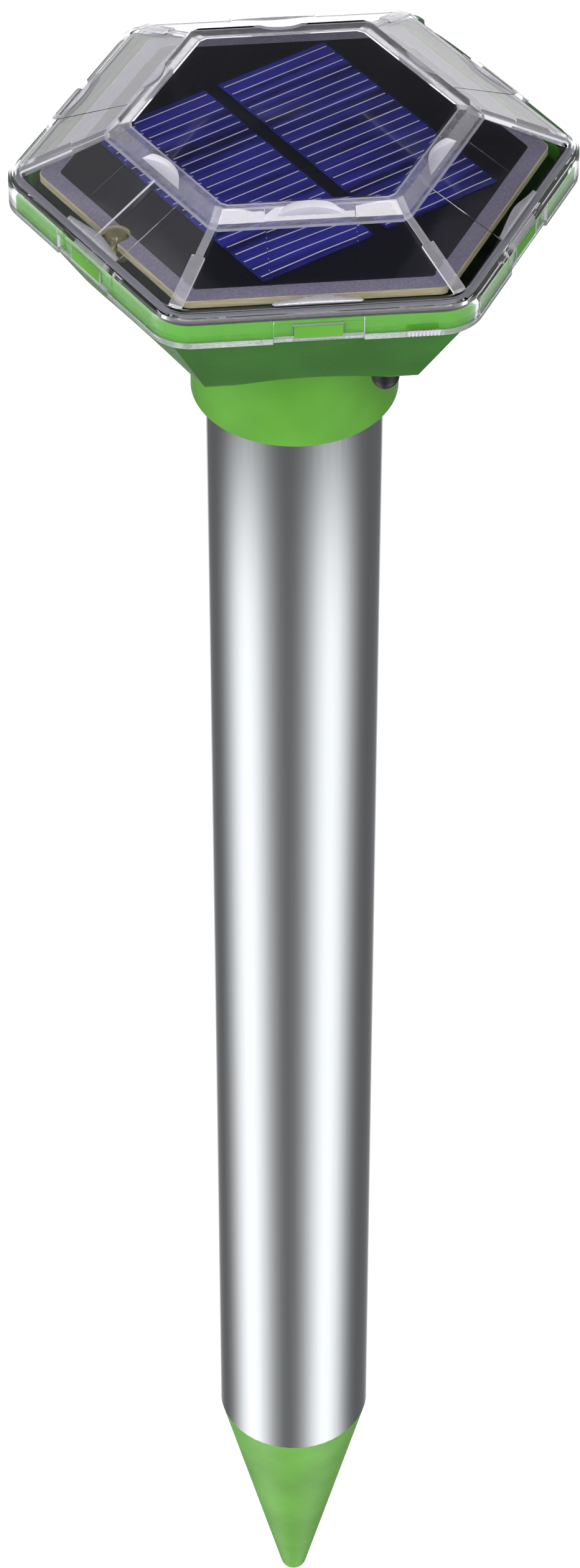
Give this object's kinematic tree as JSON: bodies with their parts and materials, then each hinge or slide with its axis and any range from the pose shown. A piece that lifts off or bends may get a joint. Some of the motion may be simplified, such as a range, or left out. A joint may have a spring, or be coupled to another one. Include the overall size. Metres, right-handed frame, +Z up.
{
  "type": "solar mole repeller",
  "caption": "Ground stake with a hexagonal solar head under a clear cover, a metal tube, a pointed foot and an internal sound unit.",
  "frame": {"origin": "point of the spike, on the axis of the tube", "axes": "+Z up the tube towards the solar head; -Y out of a side of the head; +X out of a corner"},
  "size_m": [0.098, 0.087, 0.4018],
  "materials": {
    "clear_plastic": "clear glossy styrene",
    "black_rubber": "matt",
    "panel_laminate": "cut glass-fibre board",
    "panel_band": "resin over grey print",
    "panel_black": "resin over black print",
    "silicon": "blue coated silicon",
    "silver_print": "printed silver",
    "foam": "closed-cell foam",
    "amber_lens": "clear amber resin",
    "tinned_wire": "tinned",
    "green_plastic": "moulded, semi-gloss",
    "circuit_board": "solder resist",
    "black_plastic": "moulded",
    "blue_sleeve": "shrink sleeve",
    "copper": "enamelled wire",
    "steel": "zinc plated",
    "cell_can": "nickel plated can",
    "green_film": "shrink film",
    "white_foam": "foam tape",
    "red_wire": "insulated wire",
    "white_plastic": "moulded",
    "grey_wire": "insulated wire",
    "ferrite": "sintered",
    "cone_film": "thin film",
    "tube_metal": "drawn, satin bright",
    "spike_green": "moulded, semi-gloss"
  },
  "bodies": {
    "stake": {"tube": "tube_metal", "spike": "spike_green"},
    "seal": {"neck_seal": "black_rubber"},
    "head": {"clear_cover": "clear_plastic", "cover_gasket": "black_rubber", "panel_board": "panel_laminate", "panel_border": "panel_band", "panel_mask": "panel_black", "panel_cells": "silicon", "cell_fingers": "silver_print", "panel_pads": "foam", "indicator_led": "amber_lens", "led_leads": "tinned_wire", "head_base": "green_plastic", "main_board": "circuit_board", "controller_ic": "black_plastic", "capacitor": "blue_sleeve", "boost_coil": "copper", "driver_transistor": "black_plastic", "board_screws": "steel", "battery_cells": "cell_can", "battery_tabs": "steel", "battery_sleeve": "green_film", "battery_pad": "white_foam", "battery_leads": "red_wire", "switch_body": "black_plastic", "switch_leads": "grey_wire", "panel_leads": "red_wire", "sound_carrier": "black_plastic", "speaker_frame": "steel", "speaker_magnet": "ferrite", "speaker_cone": "cone_film", "speaker_foam": "foam", "speaker_leads": "grey_wire"},
    "button": {"button_cap": "black_rubber", "switch_plunger": "white_plastic"}
  },
  "joints": [
    {"name": "head_lift", "type": "slide", "parent": "stake", "child": "seal", "axis": [0, 0, 1], "range_m": [0, 0.065]},
    {"name": "head_turn", "type": "hinge", "parent": "seal", "child": "head", "pos_m": [0, 0, 0.351], "axis": [0, 0, 1], "continuous": true},
    {"name": "power_button_press", "type": "slide", "parent": "head", "child": "button", "axis": [0, 0, 1], "range_m": [0, 0.0015], "stiffness_N_per_m": 400, "springref_m": -0.002}
  ]
}
